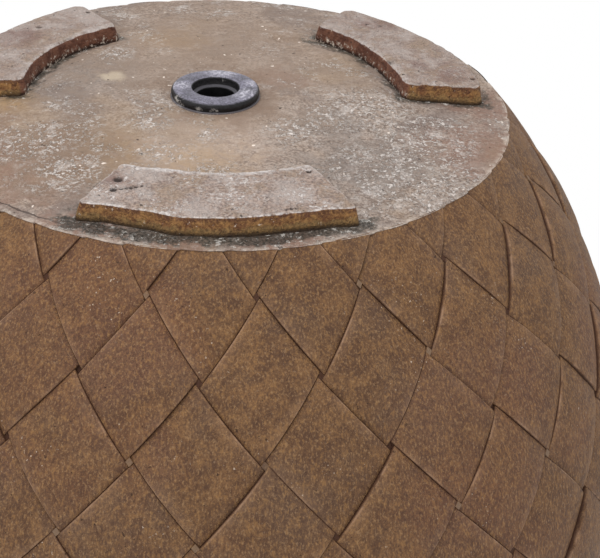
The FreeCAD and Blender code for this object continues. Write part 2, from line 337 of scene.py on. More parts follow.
PADS = ("foot_pad_front", "foot_pad_left", "foot_pad_right")
PAD_TURNS = (0.0, math.radians(120), math.radians(-120))
PAD_SHAPES = ((3, 0.0022), (11, 0.0052), (11, 0.0056))   # rounds of smoothing, corner radius in plan
PAD_INNER, PAD_OUTER = 0.0887, 0.1290   # the radii of a pad's two long sides
PAD_HALF = math.radians(27.8)           # half the angle that a pad spans
PAD_THICKNESS = 0.00734
PAD_LEAN = 0.0017          # how far a pad's sides lean in towards the ground
MOAT = 0.0012              # depth of the hollow trowelled round the pads and the grommet
PAD_MOAT, SEAL_MOAT = 0.0055, 0.0060    # how far that hollow reaches from them
CRATERS = ((-0.0365, 0.0737, 0.0048, 0.0017), (-0.0315, 0.0750, 0.0028, 0.0014),
           (-0.0403, 0.0089, 0.0018, 0.0009), (-0.0720, -0.0146, 0.0060, -0.0005),
           (0.0509, 0.0516, 0.0060, -0.0008), (0.0430, 0.0560, 0.0030, -0.0006),
           (-0.0250, 0.0470, 0.0050, 0.0006), (0.0520, -0.0260, 0.0030, -0.0005),
           (-0.0600, -0.0560, 0.0040, 0.0005))   # (x, y, radius, depth)


def pad_distance(place):
    """How far a point under the slab is from the nearest pad, in plan, and whether it is on that
    pad's outer side."""
    radius = math.hypot(place.x, place.y)
    turn = math.atan2(-place.x, -place.y)
    best, outside = 1.0, False
    for centre in PAD_TURNS:
        off = abs((turn - centre + math.pi) % (2 * math.pi) - math.pi)
        along = max(off - PAD_HALF, 0.0) * radius
        across = max(PAD_INNER - radius, radius - PAD_OUTER, 0.0)
        away = math.hypot(along, across)
        if away < best:
            best, outside = away, radius > PAD_OUTER
    return best, outside


def moat(place):
    """Depth of the hollow trowelled round the pads, shallower at the front of the pot."""
    return MOAT * (1 - 0.7 * fade(-place.y, 0.06, 0.10))


def shape_underside(vert, grime_and_shade, rim_dust_and_highlight):
    """Trowel waves, dents, a hollow round the pads and the grommet, and a stepped, ragged edge.
    Dirt and painted contact shade gather round the pads, and the rim mask marks the slab's edge, pale
    with dust and a painted highlight."""
    place = vert.co.copy()
    radius = math.hypot(place.x, place.y)
    away, outside = pad_distance(place)
    waves = 0.0006 * rough(place, 24, 8.0) + 0.0004 * rough(place, 75, 9.0)
    waves += 0.00022 * rough(place, 240, 10.0)
    drop = waves * (0.25 + 0.75 * fade(radius, 0.022, 0.045)) * (1 - 0.6 * fade(radius, 0.132, 0.140))
    drop -= moat(place) * math.exp(-(away / PAD_MOAT) ** 2)
    drop -= 0.8 * MOAT * math.exp(-(max(radius - GROMMET_HIGH[0], 0.0) / SEAL_MOAT) ** 2)
    for x, y, size, depth in CRATERS:
        drop -= depth * math.exp(-((place.x - x) ** 2 + (place.y - y) ** 2) / size ** 2)
    vert.co.z -= drop
    outward = Vector((place.x, place.y, 0.0)).normalized()
    step = FOOT_RELIEF * weave_height(math.atan2(-place.x, -place.y), WALL_FOOT)
    ragged = 0.0002 + step + 0.00035 * rough(place, 60, 11.0) + 0.00018 * rough(place, 260, 12.0)
    vert.co += outward * fade(radius, SLAB_RADIUS - 0.007, SLAB_RADIUS - 0.001) * ragged
    front = fade(-place.y, 0.06, 0.10)
    # Darker round the pads: grime and painted contact shade, widest on the front pad's outer side.
    if outside:
        vert[grime_and_shade] = (0.45 + 0.55 * front) * math.exp(-(away / (0.0044 + 0.0026 * front)) ** 2)
    else:
        vert[grime_and_shade] = 0.60 * math.exp(-away / 0.0040)
    # A pale edge: dust and a painted highlight.
    vert[rim_dust_and_highlight] = fade(radius, SLAB_RADIUS - 0.0022, SLAB_RADIUS - 0.0006)


def make_slab(material):
    """The trowelled slab: uneven and domed underneath, flush with the weave at its edge."""
    build = bmesh.new()
    hole, edge, steps = 0.0137, 0.0007, 110
    radii = [hole + (SLAB_RADIUS - 0.5 * edge - hole) * k / steps for k in range(steps)]
    under = [(radius, under_level(radius)) for radius in radii]
    centre = (SLAB_RADIUS - 0.47 * edge, EDGE_LEVEL + edge)
    corner = arc_points(centre, edge, -90, math.degrees(WALL_START), 5)
    lap = [(corner[-1][0] - 0.0005, corner[-1][1] + 0.0007), (SLAB_RADIUS - 0.0016, SEAT)]
    inner = WALL_ARC - WALL_THICKNESS
    foot = math.degrees(math.asin((SEAT - WALL_LEVEL) / inner))
    head = math.degrees(math.asin((SLAB_TOP - WALL_LEVEL) / inner))
    side = arc_points((WALL_ACROSS, WALL_LEVEL), inner, foot, head, 3)
    floor = line_points((side[-1][0], SLAB_TOP), (hole, SLAB_TOP), 50)[1:]
    section = under + corner + lap + side + floor + [(hole, SLAB_TOP), (hole, under[0][1])]
    grime_and_shade = build.verts.layers.float.new("dirt_and_shade")
    rim_dust_and_highlight = build.verts.layers.float.new("rim_dust_and_highlight")
    rings = lathe(build, section, 600)
    shown = len(under) + len(corner) + 1
    for number, ring in enumerate(rings):
        for vert in ring:
            if number < shown:
                shape_underside(vert, grime_and_shade, rim_dust_and_highlight)
            elif number > shown:
                place = vert.co.copy()
                vert.co.z += 0.0010 * rough(place, 20, 13.0) + 0.0003 * rough(place, 90, 14.0)
    bmesh.ops.remove_doubles(build, verts=build.verts, dist=0.00001)
    return new_piece("trowelled_slab", to_mesh(build, "trowelled_slab", 60), material,
                     "base_slab")


# ---------------------------------------------------------------- foot pads

PAD_PITS = {
    "foot_pad_front": ((0.0418, -0.0961, 0.0022, 0.0015), (0.0435, -0.1046, 0.0017, 0.0015),
                       (0.0402, -0.1040, 0.0011, 0.0014), (0.0380, -0.1035, 0.0011, 0.0015),
                       (0.0360, -0.1032, 0.0013, 0.0013), (0.0338, -0.1026, 0.0010, 0.0014),
                       (0.0316, -0.1020, 0.0009, 0.0011), (-0.0398, -0.0885, 0.0011, 0.0016),
                       (-0.0290, -0.1201, 0.0010, 0.0010), (-0.0310, -0.1196, 0.0010, 0.0012),
                       (-0.0332, -0.1190, 0.0010, 0.0010), (0.0455, -0.0905, 0.0030, 0.0005)),
    "foot_pad_left": ((-0.0836, 0.0312, 0.0045, 0.0009), (-0.0897, 0.0052, 0.0010, 0.0014),
                      (-0.1240, 0.0167, 0.0014, 0.0013), (-0.0843, 0.0816, 0.0022, 0.0008),
                      (-0.0700, 0.0900, 0.0022, 0.0006)),
    "foot_pad_right": ((0.0883, 0.0731, 0.0016, 0.0014), (0.0650, 0.0941, 0.0014, 0.0012),
                       (0.0900, 0.0300, 0.0030, 0.0006)),
}   # (x, y, radius, depth)


def remeshed(build, name, voxel):
    """An even, dense mesh over a closed bmesh."""
    mesh = bpy.data.meshes.new(name)
    build.to_mesh(mesh)
    build.free()
    draft = bpy.data.objects.new(name, mesh)
    bpy.context.scene.collection.objects.link(draft)
    modifier = draft.modifiers.new("remesh", "REMESH")
    modifier.mode = "VOXEL"
    modifier.voxel_size = voxel
    dense = bpy.data.meshes.new_from_object(draft.evaluated_get(bpy.context.evaluated_depsgraph_get()))
    bpy.data.objects.remove(draft)
    bpy.data.meshes.remove(mesh)
    return dense


PAD_SIDES = {
    "foot_pad_front": ((1.0, 0.0, -0.9, -0.5, 0.0, 0.1, -0.1, 0.1, 0.4),
                       (0.5, -2.2, -2.0, 0.4, 0.3, -0.2, -0.7, 0.0, 3.6)),
    "foot_pad_left": ((-0.2, -0.5, -0.9, -0.7, -0.1, 1.1, 2.2, 2.8, 3.0),
                      (0.4, 0.0, 0.2, 0.3, -0.8, -1.6, -1.8, -1.5, -0.8)),
    "foot_pad_right": ((-2.5, -1.0, 0.0, 0.4, 0.8, 1.0, 1.1, 0.8, 0.1),
                       (0.0, -0.5, -1.0, -1.0, -0.5, 0.0, 0.3, 0.0, -0.8)),
}   # millimetres that the inner and the outer side are out from the plain arc, from end to end


def side_offset(offsets, along):
    """How far out a hand-made side is at a place along it, from -1 to 1, in metres."""
    place = (along + 1) / 2 * (len(offsets) - 1)
    first = min(int(place), len(offsets) - 2)
    share = fade(place - first, 0.0, 1.0)
    return 0.001 * (offsets[first] * (1 - share) + offsets[first + 1] * share)


def round_corner(across, along, bend):
    """Takes a point of a pad's plan, from -1 to 1 each way, into a plan with rounded corners."""
    width = (PAD_OUTER - PAD_INNER) / 2
    length = (PAD_OUTER + PAD_INNER) / 2 * PAD_HALF
    u = max(0.0, 1 - (1 - abs(across)) * width / bend)
    v = max(0.0, 1 - (1 - abs(along)) * length / bend)
    pull = 1 - max(u, v) / max(math.hypot(u, v), 1e-6)
    return (across - math.copysign(u * pull * bend / width, across),
            along - math.copysign(v * pull * bend / length, along))


def pad_block(node, centre, seed, bend):
    """A closed block of even thickness, bent round the axis and laid on the dome, with its sides
    leaning in towards the ground and its corners rounded in plan."""
    build = bmesh.new()
    bmesh.ops.create_cube(build, size=2.0)
    bmesh.ops.subdivide_edges(build, edges=build.edges[:], cuts=63, use_grid_fill=True)
    inner_offsets, outer_offsets = PAD_SIDES[node]
    for vert in build.verts:
        across, along, up = vert.co
        share = (up + 1) / 2
        across, along = round_corner(across, along, bend)
        lean = PAD_LEAN * (1 - share)
        inner = PAD_INNER + lean + side_offset(inner_offsets, along)
        outer = PAD_OUTER - lean + side_offset(outer_offsets, along)
        radius = (outer + inner) / 2 + across * (outer - inner) / 2
        turn = centre + along * (PAD_HALF - 1.3 * lean / radius)
        turn += 0.003 * noise.noise(Vector((across * 1.5, along * 0.7, seed)))
        ground = max(0.0, 0.75 * (under_level(radius) - PAD_THICKNESS))
        top = under_level(radius) + 0.0025
        vert.co = round_axis(turn, radius, ground + share * (top - ground))
    return build


def make_pad(node, centre, seed, softness, bend, material):
    """A hand-cast pad: worn edges, chips along them and small pits. Softness rounds its edges, and
    bend is the radius of its corners in plan."""
    mesh = remeshed(pad_block(node, centre, seed, bend), node, 0.00068)
    build = bmesh.new()
    build.from_mesh(mesh)
    bpy.data.meshes.remove(mesh)
    for _ in range(softness):
        bmesh.ops.smooth_vert(build, verts=build.verts, factor=0.5, use_axis_x=True, use_axis_y=True,
                              use_axis_z=True)
    build.normal_update()
    layers = build.verts.layers.float
    grime_and_shade, side, rim_dust_and_highlight, inward, foot = (layers.new(name)
                                      for name in ("dirt_and_shade", "side", "rim_dust_and_highlight", "inward", "foot"))
    moves = []
    for vert in build.verts:
        place, normal = vert.co.copy(), vert.normal.copy()
        outward = Vector((place.x, place.y, 0.0)).normalized()
        facing = -normal.z
        edge_wear_and_highlight = fade(facing, 0.15, 0.55) * fade(facing, 0.99, 0.85)
        swell = 0.00030 * rough(place, 60, seed) + 0.00012 * rough(place, 330, seed + 1)
        chip = fade(rough(place, 140, seed + 2), 0.15, 0.75) * (0.0002 + 0.0008 * edge_wear_and_highlight)
        pit = 0.0
        for x, y, size, depth in PAD_PITS[node]:
            near = math.exp(-((place.x - x) ** 2 + (place.y - y) ** 2) / size ** 2)
            pit = max(pit, near * fade(facing, 0.3, 0.8) * depth)
        moves.append((vert, place - normal * (chip + pit - swell)))
        above = under_level(math.hypot(place.x, place.y)) + moat(place) - place.z
        # Darker where the pad meets the slab and in its pits: painted shade.
        vert[grime_and_shade] = max(fade(above, 0.0022, 0.0002), fade(pit, 0.0004, 0.0010))
        vert[side] = 1 - fade(facing, 0.35, 0.75)
        # The pad's pale rim: dust and a painted highlight.
        vert[rim_dust_and_highlight] = edge_wear_and_highlight
        vert[inward] = fade(-normal.dot(outward), 0.2, 0.6)
        vert[foot] = fade(above, 0.0080, 0.0015)
    for vert, place in moves:
        place.z = max(place.z, 0.0)
        vert.co = place
    return new_piece(f"cast_{node}", to_mesh(build, node, 70), material, node)


# ---------------------------------------------------------------- rubber grommet

def make_grommet(material):
    """The rubber seal: rounded outer flange over a groove and a thin lip, neck, inner flange."""
    flange = GROMMET_HIGH[0]
    low, crest = GROMMET_LOW[2], GROMMET_HIGH[2]
    mouth, bore, neck = 0.0110, 0.0090, 0.0138
    ledge = low + 0.0042
    slab = under_level(flange) + 0.8 * MOAT
    outer_round, mouth_round = 0.0026, 0.0010
    inner_flange = 0.019
    # The outer flange's side, its rounded edge and its face
    section = [(flange - 0.0001, low + 0.0034)]
    section += arc_points((flange - outer_round, low + outer_round + 0.0002), outer_round, 0, -76, 12)
    section += [(flange - 0.0044, low + 0.00004), (mouth + 0.0030, low), (mouth + 0.0018, low + 0.0001)]
    # The mouth, and the ledge where it narrows to the bore
    section += arc_points((mouth + mouth_round, low + mouth_round + 0.0003), mouth_round, -76, -180, 8)
    section += [(mouth, ledge - 0.0004), (mouth - 0.0003, ledge)]
    section += [(bore + 0.0004, ledge + 0.0001), (bore, ledge + 0.0005)]
    section += line_points((bore, ledge + 0.001), (bore, crest - 0.001), 10)
    # The inner flange and the neck
    section += arc_points((bore + 0.001, crest - 0.001), 0.001, 180, 90, 4)
    section += arc_points((inner_flange - 0.0015, crest - 0.0015), 0.0015, 90, 0, 4)
    section += [(inner_flange, SLAB_TOP), (neck, SLAB_TOP - 0.0005), (neck, slab + 0.001)]
    # The thin lip on the slab, and the groove between it and the flange
    section += [(flange - 0.0004, slab + 0.0008), (flange + 0.0003, slab + 0.0002),
                (flange + 0.0003, slab - 0.0003), (flange, slab - 0.0006),
                (flange - 0.0008, slab - 0.0007), (flange - 0.0008, slab - 0.0010),
                (flange - 0.0002, slab - 0.0012), section[0]]
    build = bmesh.new()
    for ring in lathe(build, section, 180):
        for vert in ring:
            place = vert.co.copy()
            vert.co += Vector((place.x, place.y, 0.0)) * 0.014 * rough(place, 40, 15.0)
            if place.z < slab:
                vert.co.z += 0.00025 * rough(place, 50, 16.0) + 0.00010 * rough(place, 300, 17.0)
    bmesh.ops.remove_doubles(build, verts=build.verts, dist=0.00001)
    return new_piece("rubber_grommet", to_mesh(build, "rubber_grommet", 50), material,
                     "pipe_grommet")


# ---------------------------------------------------------------- materials

class Nodes:
    """A short way to write a material's node tree."""

    def __init__(self, name):
        self.material = bpy.data.materials.new(name)
        self.material.use_nodes = True
        self.tree = self.material.node_tree
        self.shader = self.tree.nodes["Principled BSDF"]
        self.place = self.add("ShaderNodeTexCoord").outputs["Object"]

    def add(self, kind, **settings):
        node = self.tree.nodes.new(kind)
        for name, value in settings.items():
            setattr(node, name, value)
        return node

    def link(self, source, target):
        if isinstance(source, (int, float)):
            target.default_value = source
        elif isinstance(source, tuple):
            target.default_value = source if len(source) == 4 else (*source, 1.0)
        else:
            self.tree.links.new(source, target)

    def stretched(self, scale):
        """The object's coordinates, scaled along each axis."""
        node = self.add("ShaderNodeMapping")
        self.link(self.place, node.inputs["Vector"])
        node.inputs["Scale"].default_value = scale
        return node.outputs["Vector"]

    def noise(self, scale, detail=4.0, roughness=0.55, where=None, distortion=0.0):
        node = self.add("ShaderNodeTexNoise")
        self.link(where or self.place, node.inputs["Vector"])
        node.inputs["Scale"].default_value = scale
        node.inputs["Detail"].default_value = detail
        node.inputs["Roughness"].default_value = roughness
        node.inputs["Distortion"].default_value = distortion
        return node.outputs["Fac"]

    def ramp(self, source, low, high, start=0.0, end=1.0):
        """Turns low..high of source into start..end, smoothly."""
        node = self.add("ShaderNodeMapRange", interpolation_type="SMOOTHSTEP")
        self.link(source, node.inputs["Value"])
        for name, value in (("From Min", low), ("From Max", high), ("To Min", start), ("To Max", end)):
            node.inputs[name].default_value = value
        return node.outputs["Result"]

    def math(self, operation, first, second=0.0):
        node = self.add("ShaderNodeMath", operation=operation)
        self.link(first, node.inputs[0])
        self.link(second, node.inputs[1])
        return node.outputs[0]

    def mix(self, share, first, second, blend="MIX"):
        node = self.add("ShaderNodeMix", data_type="RGBA", blend_type=blend)
        self.link(share, node.inputs["Factor"])
        self.link(first, node.inputs["A"])
        self.link(second, node.inputs["B"])
        return node.outputs["Result"]

    def attribute(self, name):
        return self.add("ShaderNodeAttribute", attribute_name=name).outputs["Fac"]

    def spot(self, centre, radius, edge):
        """1 round a point and 0 away from it, with a border broken up by the edge noise."""
        node = self.add("ShaderNodeVectorMath", operation="DISTANCE")
        self.link(self.place, node.inputs[0])
        node.inputs[1].default_value = centre
        uneven = self.ramp(edge, 0.25, 0.75, -0.5 * radius, 0.5 * radius)
        return self.ramp(self.math("ADD", node.outputs["Value"], uneven), 1.25 * radius, 0.35 * radius)

    def spots(self, places, edge):
        """1 in any of several (x, y, z, radius) spots."""
        return self.most(*(self.spot(place[:3], place[3], edge) for place in places))

    def radius(self):
        """The distance from the pot's axis."""
        node = self.add("ShaderNodeVectorMath", operation="LENGTH")
        self.link(self.stretched((1.0, 1.0, 0.0)), node.inputs[0])
        return node.outputs["Value"]

    def axes(self, vector):
        """The three parts of a vector."""
        node = self.add("ShaderNodeSeparateXYZ")
        self.link(vector, node.inputs[0])
        return node.outputs["X"], node.outputs["Y"], node.outputs["Z"]

    def most(self, *masks):
        """The largest of several masks."""
        result = masks[0]
        for mask in masks[1:]:
            result = self.math("MAXIMUM", result, mask)
        return result

    def both(self, *masks):
        """Several masks multiplied together."""
        result = masks[0]
        for mask in masks[1:]:
            result = self.math("MULTIPLY", result, mask)
        return result

    def normal(self, *layers):
        """Bump from (height, distance) layers, one on another."""
        normal = None
        for height, distance in layers:
            node = self.add("ShaderNodeBump")
            self.link(height, node.inputs["Height"])
            node.inputs["Distance"].default_value = distance
            if normal:
                self.link(normal, node.inputs["Normal"])
            normal = node.outputs["Normal"]
        self.link(normal, self.shader.inputs["Normal"])

    def finish(self, colour, roughness):
        self.link(colour, self.shader.inputs["Base Color"])
        self.link(roughness, self.shader.inputs["Roughness"])
        return self.material


def tint(red, green, blue):
    """A colour as the eye sees it, from 0 to 255, in the linear values that a shader takes."""
    return tuple((value / 255) ** 2.2 for value in (red, green, blue))


def make_wall_material():
    """Rust-brown cast wall: ochre and dark upright strokes, fine grain, seams and holes darkened with
    grime and painted shade, raised strip edges lightened with wear and a painted highlight, pale
    specks.
    """
    n = Nodes("cast_wall")
    grain = n.noise(1300, 2, 0.65)
    strokes = n.noise(850, 3, 0.65, n.stretched((1.0, 1.0, 0.34)))
    fine = n.noise(1200, 2, 0.6, n.stretched((1.0, 1.0, 0.5)))
    patches = n.noise(34, 4, 0.6)
    broad = n.noise(9, 3, 0.55)
    drift = n.ramp(n.noise(120, 4, 0.65), 0.36, 0.64)
    plain = n.mix(drift, tint(94, 68, 49), tint(122, 90, 61))
    plain = n.mix(n.ramp(patches, 0.46, 0.64, 0, 0.45), plain, tint(100, 80, 66))
    plain = n.mix(n.ramp(broad, 0.46, 0.62, 0, 0.45), plain, tint(108, 72, 56))
    plain = n.mix(n.ramp(n.attribute("tone"), 0.0, 1.0, 0.0, 0.16), plain, tint(78, 57, 44))
    colour = n.mix(n.ramp(grain, 0.34, 0.66, 0.50, 0.0), plain, tint(62, 42, 31))
    colour = n.mix(n.ramp(strokes, 0.50, 0.68, 0, 0.46), colour, tint(148, 110, 68))
    colour = n.mix(n.ramp(strokes, 0.48, 0.33, 0, 0.50), colour, tint(70, 47, 33))
    colour = n.mix(n.ramp(fine, 0.54, 0.68, 0, 0.42), colour, tint(156, 124, 90))
    clusters = n.most(n.ramp(n.noise(38, 3, 0.6), 0.54, 0.68, 0.10, 1.0),
                      n.spot((-0.072, -0.140, 0.040), 0.016, patches))
    specks = n.both(n.ramp(n.noise(820, 2, 0.5), 0.68, 0.73), clusters)
    colour = n.mix(n.both(specks, 0.75), colour, tint(196, 178, 160))
    # Raised strip edges lightened: wear and dust, with a painted highlight.
    wear_and_highlight = n.both(n.attribute("wear_and_highlight"), n.ramp(n.noise(130, 3), 0.36, 0.62, 0.05, 0.6))
    colour = n.mix(wear_and_highlight, colour, tint(172, 138, 112))
    # Seams and holes darkened by this mask: grime and painted crevice shade.
    dirt_and_shade = n.attribute("dirt_and_shade")
    colour = n.mix(n.both(n.ramp(dirt_and_shade, 0.25, 0.85), 0.90), colour, tint(62, 38, 27))
    mortar = n.both(n.ramp(n.attribute("mortar"), 0.5, 1.0), n.ramp(dirt_and_shade, 0.7, 0.3),
                    n.ramp(patches, 0.3, 0.55))
    colour = n.mix(n.both(mortar, 0.7), colour, tint(122, 102, 84))
    pits = n.ramp(n.noise(520, 2, 0.5), 0.28, 0.23)
    colour = n.mix(n.both(pits, 0.7), colour, tint(50, 34, 26))
    n.shader.inputs["Specular IOR Level"].default_value = 0.28
    n.normal((patches, 0.0006), (strokes, 0.00024), (fine, 0.00018), (grain, 0.00020), (pits, -0.0003))
    return n.finish(colour, n.ramp(grain, 0.3, 0.7, 0.62, 0.88))


# Marks on the base, as (x, y, z, radius)
OCHRE_STAINS = ((0.047, -0.0575, 0.006, 0.026), (0.007, -0.067, 0.006, 0.024),
                (0.100, 0.000, 0.008, 0.018), (0.020, 0.070, 0.006, 0.018))
RED_STAINS = ((-0.120, -0.045, 0.010, 0.030), (0.090, -0.070, 0.010, 0.038),
              (-0.130, 0.002, 0.011, 0.020), (0.0705, 0.0719, 0.009, 0.020),
              (0.118, -0.040, 0.010, 0.030), (-0.030, 0.020, 0.005, 0.016),
              (0.060, -0.122, 0.011, 0.020), (0.018, -0.138, 0.011, 0.016),
              (-0.026, -0.136, 0.011, 0.018))
GREY_STAINS = ((0.060, 0.024, 0.006, 0.034), (-0.066, -0.068, 0.008, 0.034),
               (-0.055, -0.030, 0.006, 0.020))
CRUMBLY_PLACES = ((-0.072, -0.0146, 0.006, 0.030), (-0.085, -0.079, 0.010, 0.036),
                  (0.084, -0.048, 0.008, 0.026), (0.066, -0.074, 0.009, 0.018),
                  (-0.095, -0.045, 0.008, 0.024), (0.030, -0.030, 0.005, 0.014),
                  (-0.036, -0.040, 0.005, 0.016), (0.050, 0.052, 0.006, 0.010))
CRACK_RADIUS = 0.1345      # of the crack along the slab's edge


def make_base_material():
    """Trowelled cement: grey-tan with ochre and reddish stains, white crumbs, grime and painted shade
    round the pads, a painted shadow round the grommet, and a pale edge of dust with a painted
    highlight.
    """
    n = Nodes("trowelled_base")
    edge = n.noise(60, 4, 0.65)
    streaks = n.noise(170, 5, 0.7, n.stretched((0.35, 1.0, 1.0)), 0.6)
    grain = n.noise(800, 2, 0.65)
    coarse = n.noise(300, 4, 0.75)
    clouds = n.noise(24, 4, 0.62, None, 0.4)
    warm = n.noise(15, 3, 0.6)
    colour = n.mix(n.ramp(grain, 0.36, 0.64), tint(104, 89, 78), tint(162, 145, 133))
    colour = n.mix(n.ramp(streaks, 0.46, 0.62, 0, 0.45), colour, tint(164, 150, 140))
    colour = n.mix(n.ramp(streaks, 0.46, 0.32, 0, 0.50), colour, tint(108, 88, 76))
    colour = n.mix(n.ramp(coarse, 0.47, 0.36, 0, 0.60), colour, tint(98, 82, 74))
    colour = n.mix(n.ramp(coarse, 0.54, 0.64, 0, 0.50), colour, tint(176, 162, 152))
    colour = n.mix(n.ramp(clouds, 0.50, 0.64, 0, 0.60), colour, tint(112, 98, 92))
    colour = n.mix(n.ramp(warm, 0.50, 0.66, 0, 0.45), colour, tint(150, 125, 98))
    stained = n.ramp(coarse, 0.35, 0.6, 0.35, 0.8)
    colour = n.mix(n.both(n.spots(OCHRE_STAINS, edge), stained), colour, tint(146, 118, 84))
    red = n.spots(RED_STAINS, edge)
    colour = n.mix(n.both(red, stained), colour, tint(124, 94, 80))
    grey = n.spots(GREY_STAINS, edge)
    colour = n.mix(n.both(grey, n.ramp(coarse, 0.35, 0.6, 0.15, 0.65)), colour, tint(114, 104, 98))
    calm = n.spot((0.0, 0.035, 0.005), 0.080, edge)
    colour = n.mix(n.both(calm, 0.55), colour, tint(140, 121, 106))
    dull = n.most(n.spot((0.066, -0.056, 0.008), 0.042, edge),
                  n.both(n.spot((0.0, 0.100, 0.008), 0.070, edge), 0.5))
    colour = n.mix(n.both(dull, 0.75), colour, tint(126, 106, 90))
    pale = n.spot((0.006, -0.052, 0.006), 0.036, edge)
    colour = n.mix(n.both(pale, 0.40), colour, tint(176, 156, 142))
    # A painted shadow on the base round the grommet.
    grommet_shadow = n.spot((0.0, -0.002, 0.005), 0.034, edge)
    colour = n.mix(n.both(grommet_shadow, 0.55), colour, tint(112, 90, 74))
    plate = n.spot((0.0507, 0.0203, 0.0055), 0.0066, edge)
    colour = n.mix(n.both(plate, 0.65), colour, tint(186, 170, 148))
    crumbly = n.spots(CRUMBLY_PLACES, edge)
    cloudy = n.both(n.ramp(n.noise(44, 4, 0.65), 0.50, 0.64, 0.05, 0.9),
                    n.ramp(calm, 0.0, 1.0, 1.0, 0.25))
    dusting = n.both(n.most(crumbly, cloudy), n.ramp(n.noise(140, 5, 0.8, None, 0.5), 0.50, 0.64))
    colour = n.mix(n.both(dusting, n.ramp(grain, 0.3, 0.6, 0.25, 0.75)), colour, tint(196, 186, 180))
    crumbs = n.both(n.most(crumbly, cloudy), n.ramp(n.noise(480, 3, 0.8), 0.51, 0.60))
    colour = n.mix(n.both(crumbs, 0.80), colour, tint(214, 205, 199))
    specks = n.ramp(n.noise(330, 1, 0.4), 0.75, 0.79)
    colour = n.mix(n.both(specks, 0.9), colour, tint(226, 212, 200))
    dirt_and_shade = n.attribute("dirt_and_shade")
    # Dark round the pads: grime and painted contact shade.
    corners = n.math("ADD", dirt_and_shade, n.ramp(n.noise(120, 5, 0.7), 0.30, 0.70, -0.42, 0.30))
    corners = n.both(n.ramp(corners, 0.10, 0.60), n.ramp(grain, 0.30, 0.62, 1.0, 0.70))
    colour = n.mix(n.both(corners, n.ramp(dirt_and_shade, 0.02, 0.2)), colour, tint(48, 45, 39))
    crust = n.both(n.ramp(dirt_and_shade, 0.10, 0.4), n.ramp(n.noise(330, 4, 0.75), 0.56, 0.66))
    colour = n.mix(n.both(crust, 0.75), colour, tint(190, 186, 180))
    # The slab's pale edge: dust and a painted highlight.
    rim_dust_and_highlight = n.both(n.attribute("rim_dust_and_highlight"), n.ramp(n.noise(240, 4, 0.7), 0.38, 0.58), n.ramp(edge, 0.42, 0.56))
    colour = n.mix(n.both(rim_dust_and_highlight, 0.6), colour, tint(196, 182, 170))
    wander = n.math("ADD", n.radius(), n.ramp(edge, 0.3, 0.7, -0.0014, 0.0014))
    split = n.ramp(n.math("ABSOLUTE", n.math("SUBTRACT", wander, CRACK_RADIUS)), 0.0006, 0.0002)
    split = n.both(split, n.spot((0.088, -0.102, 0.011), 0.034, edge))
    pits = n.most(n.ramp(n.noise(380, 2, 0.5), 0.29, 0.24), split)
    colour = n.mix(n.both(pits, 0.75), colour, tint(56, 44, 38))
    n.shader.inputs["Specular IOR Level"].default_value = 0.32
    bumps = n.both(n.most(red, grey, n.ramp(clouds, 0.4, 0.6)), coarse)
    n.normal((streaks, 0.0008), (bumps, 0.0010), (grain, 0.00032), (crumbs, 0.0005), (pits, -0.0006))
    return n.finish(colour, n.ramp(grain, 0.3, 0.7, 0.6, 0.9))


# Reddish marks on the pads, as (x, y, z, radius)
PAD_MARKS = ((-0.0843, 0.0816, 0.003, 0.008), (-0.1134, 0.0207, 0.002, 0.012),
             (0.042, -0.097, 0.001, 0.007), (0.100, 0.060, 0.002, 0.014),
             (-0.0996, 0.0288, 0.002, 0.006), (-0.0767, 0.0827, 0.003, 0.007))


